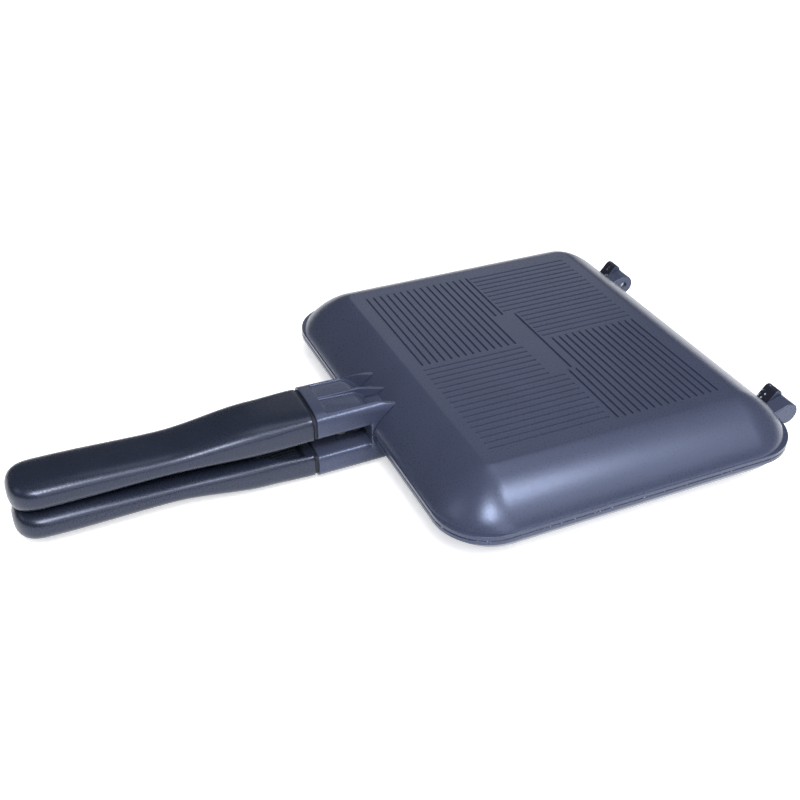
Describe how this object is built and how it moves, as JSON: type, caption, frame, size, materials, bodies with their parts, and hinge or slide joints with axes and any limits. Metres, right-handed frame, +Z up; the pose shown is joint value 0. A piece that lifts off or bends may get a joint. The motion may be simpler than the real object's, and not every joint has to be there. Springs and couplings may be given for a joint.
{
  "type": "double sided flip pan",
  "caption": "Hinged double pan: shallow trays with grooved outer faces close face to face over the food, each with its own handle, so the whole pan can be turned over on the hob.",
  "frame": {"origin": "centre of the lower tray's flat resting face", "axes": "+X from the handles to the hinges, +Y along the hinge axis towards the far hinge, +Z up through both trays"},
  "size_m": [0.3798, 0.22, 0.0436],
  "materials": {
    "coated_casting": "satin blue-grey coat over cast aluminium, speckled granite non-stick inside",
    "grip": "black-blue soft-touch phenolic with a fine grain",
    "spacer": "black heat resistant spacer",
    "steel": "plain stainless steel",
    "magnet": "nickel plated magnet",
    "cap": "black plastic"
  },
  "bodies": {
    "bottom_half": {"bottom_tray": "coated_casting", "bottom_bracket": "coated_casting", "bottom_bracket_screws": "steel", "bottom_heat_spacer": "spacer", "bottom_tang": "steel", "bottom_tang_rivet": "steel", "bottom_grip": "grip", "bottom_grip_screw": "steel", "bottom_magnet": "magnet", "bottom_magnet_cap": "cap"},
    "hinge_pins": {"hinge_pin_near": "steel", "hinge_pin_far": "steel"},
    "top_half": {"top_tray": "coated_casting", "top_bracket": "coated_casting", "top_bracket_screws": "steel", "top_heat_spacer": "spacer", "top_tang": "steel", "top_tang_rivet": "steel", "top_grip": "grip", "top_grip_screw": "steel", "top_magnet": "magnet", "top_magnet_cap": "cap"}
  },
  "joints": [
    {"name": "side_slip", "type": "slide", "parent": "bottom_half", "child": "hinge_pins", "axis": [0, -1, 0], "range_m": [0, 0.012]},
    {"name": "flip_hinge", "type": "hinge", "parent": "hinge_pins", "child": "top_half", "pos_m": [0.1054, 0, 0.0218], "axis": [0, 1, 0], "range_deg": [0, 180]}
  ]
}
